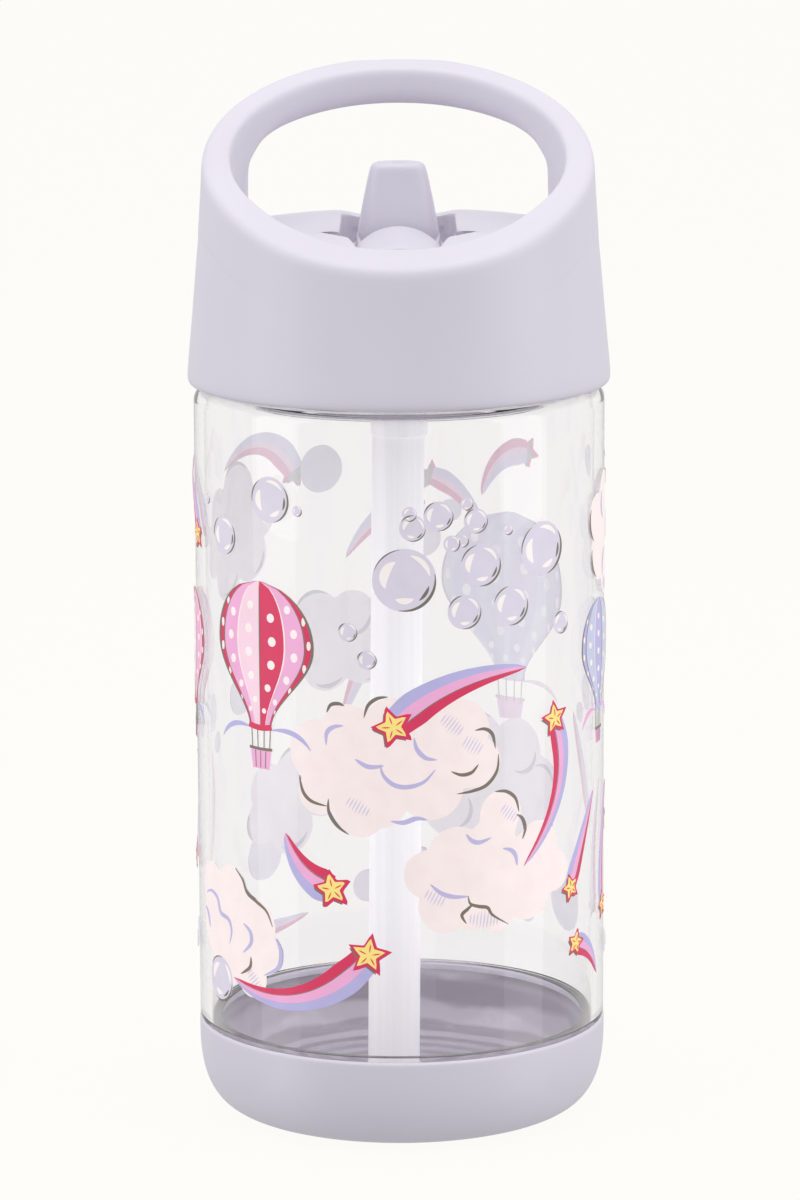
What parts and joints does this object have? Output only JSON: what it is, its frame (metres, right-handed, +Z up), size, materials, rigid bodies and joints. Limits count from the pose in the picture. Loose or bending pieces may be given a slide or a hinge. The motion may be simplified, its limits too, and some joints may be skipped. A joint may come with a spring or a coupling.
{
  "type": "kids water bottle",
  "caption": "Clear straw bottle for a child, with a soft-cornered base cup, a screw-on carry-loop lid and a flip-up drinking spout.",
  "frame": {"origin": "on the ground at the bottle's axis, centre of the underside", "axes": "+Z up along the bottle's axis, +Y towards the carry loop at the rear, -Y is the front that the child drinks from, +X to the right seen from the front"},
  "size_m": [0.0722, 0.0722, 0.1784],
  "materials": {
    "clear_body": "clear moulded plastic, glossy",
    "lilac_plastic": "satin moulded",
    "spout_plastic": "semi-gloss moulded",
    "silicone": "translucent silicone",
    "straw_plastic": "milky, slightly translucent"
  },
  "bodies": {
    "bottle": {"bottle_body": "clear_body", "base_cup": "lilac_plastic"},
    "gasket": {"neck_gasket": "silicone"},
    "lid": {"lid_shell": "lilac_plastic", "inner_cap": "lilac_plastic", "spout_seal": "silicone", "vent_valve": "silicone", "straw_collar": "silicone", "straw": "straw_plastic"},
    "spout": {"spout": "spout_plastic"}
  },
  "joints": [
    {"name": "lid_rise", "type": "slide", "parent": "bottle", "child": "gasket", "axis": [0, 0, 1], "range_m": [0, 0.0035]},
    {"name": "lid_turn", "type": "hinge", "parent": "gasket", "child": "lid", "pos_m": [0, 0, 0.138], "axis": [0, 0, 1], "range_deg": [0, 360]},
    {"name": "spout_flip", "type": "hinge", "parent": "lid", "child": "spout", "pos_m": [0, 0.0012, 0.147], "axis": [-1, 0, 0], "range_deg": [0, 90]}
  ],
  "couplings": [
    {"joint": "lid_rise", "follows": "lid_turn", "m_per_rad": 0.00055704}
  ]
}
